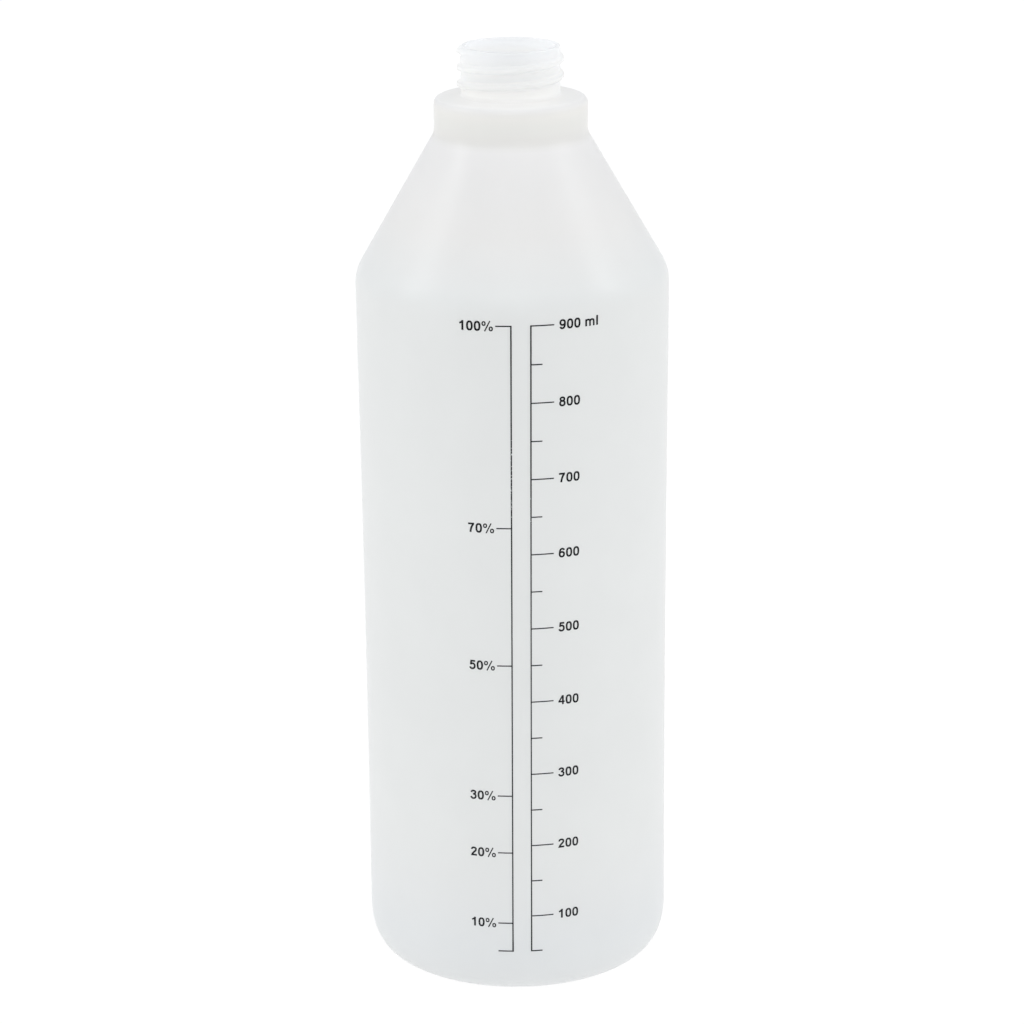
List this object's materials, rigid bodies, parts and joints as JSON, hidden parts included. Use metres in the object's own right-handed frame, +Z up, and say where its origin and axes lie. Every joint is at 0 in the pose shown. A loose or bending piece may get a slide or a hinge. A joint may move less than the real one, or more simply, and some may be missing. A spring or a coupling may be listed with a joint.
{
  "type": "graduated bottle",
  "caption": "Round blow-moulded bottle with a tapered shoulder, a collar, an externally threaded neck and a printed volume scale on its wall.",
  "frame": {"origin": "middle of the standing ring, on the surface that the bottle stands on", "axes": "+Z up along the bottle's axis; -Y is the front, where the printed scale is; +X to the right of the front"},
  "size_m": [0.082, 0.082, 0.248],
  "materials": {
    "milky_plastic": "satin natural polyethylene, faintly translucent",
    "scale_ink": "screen-printed black ink"
  },
  "bodies": {
    "root": {"bottle": "milky_plastic"}
  },
  "joints": []
}
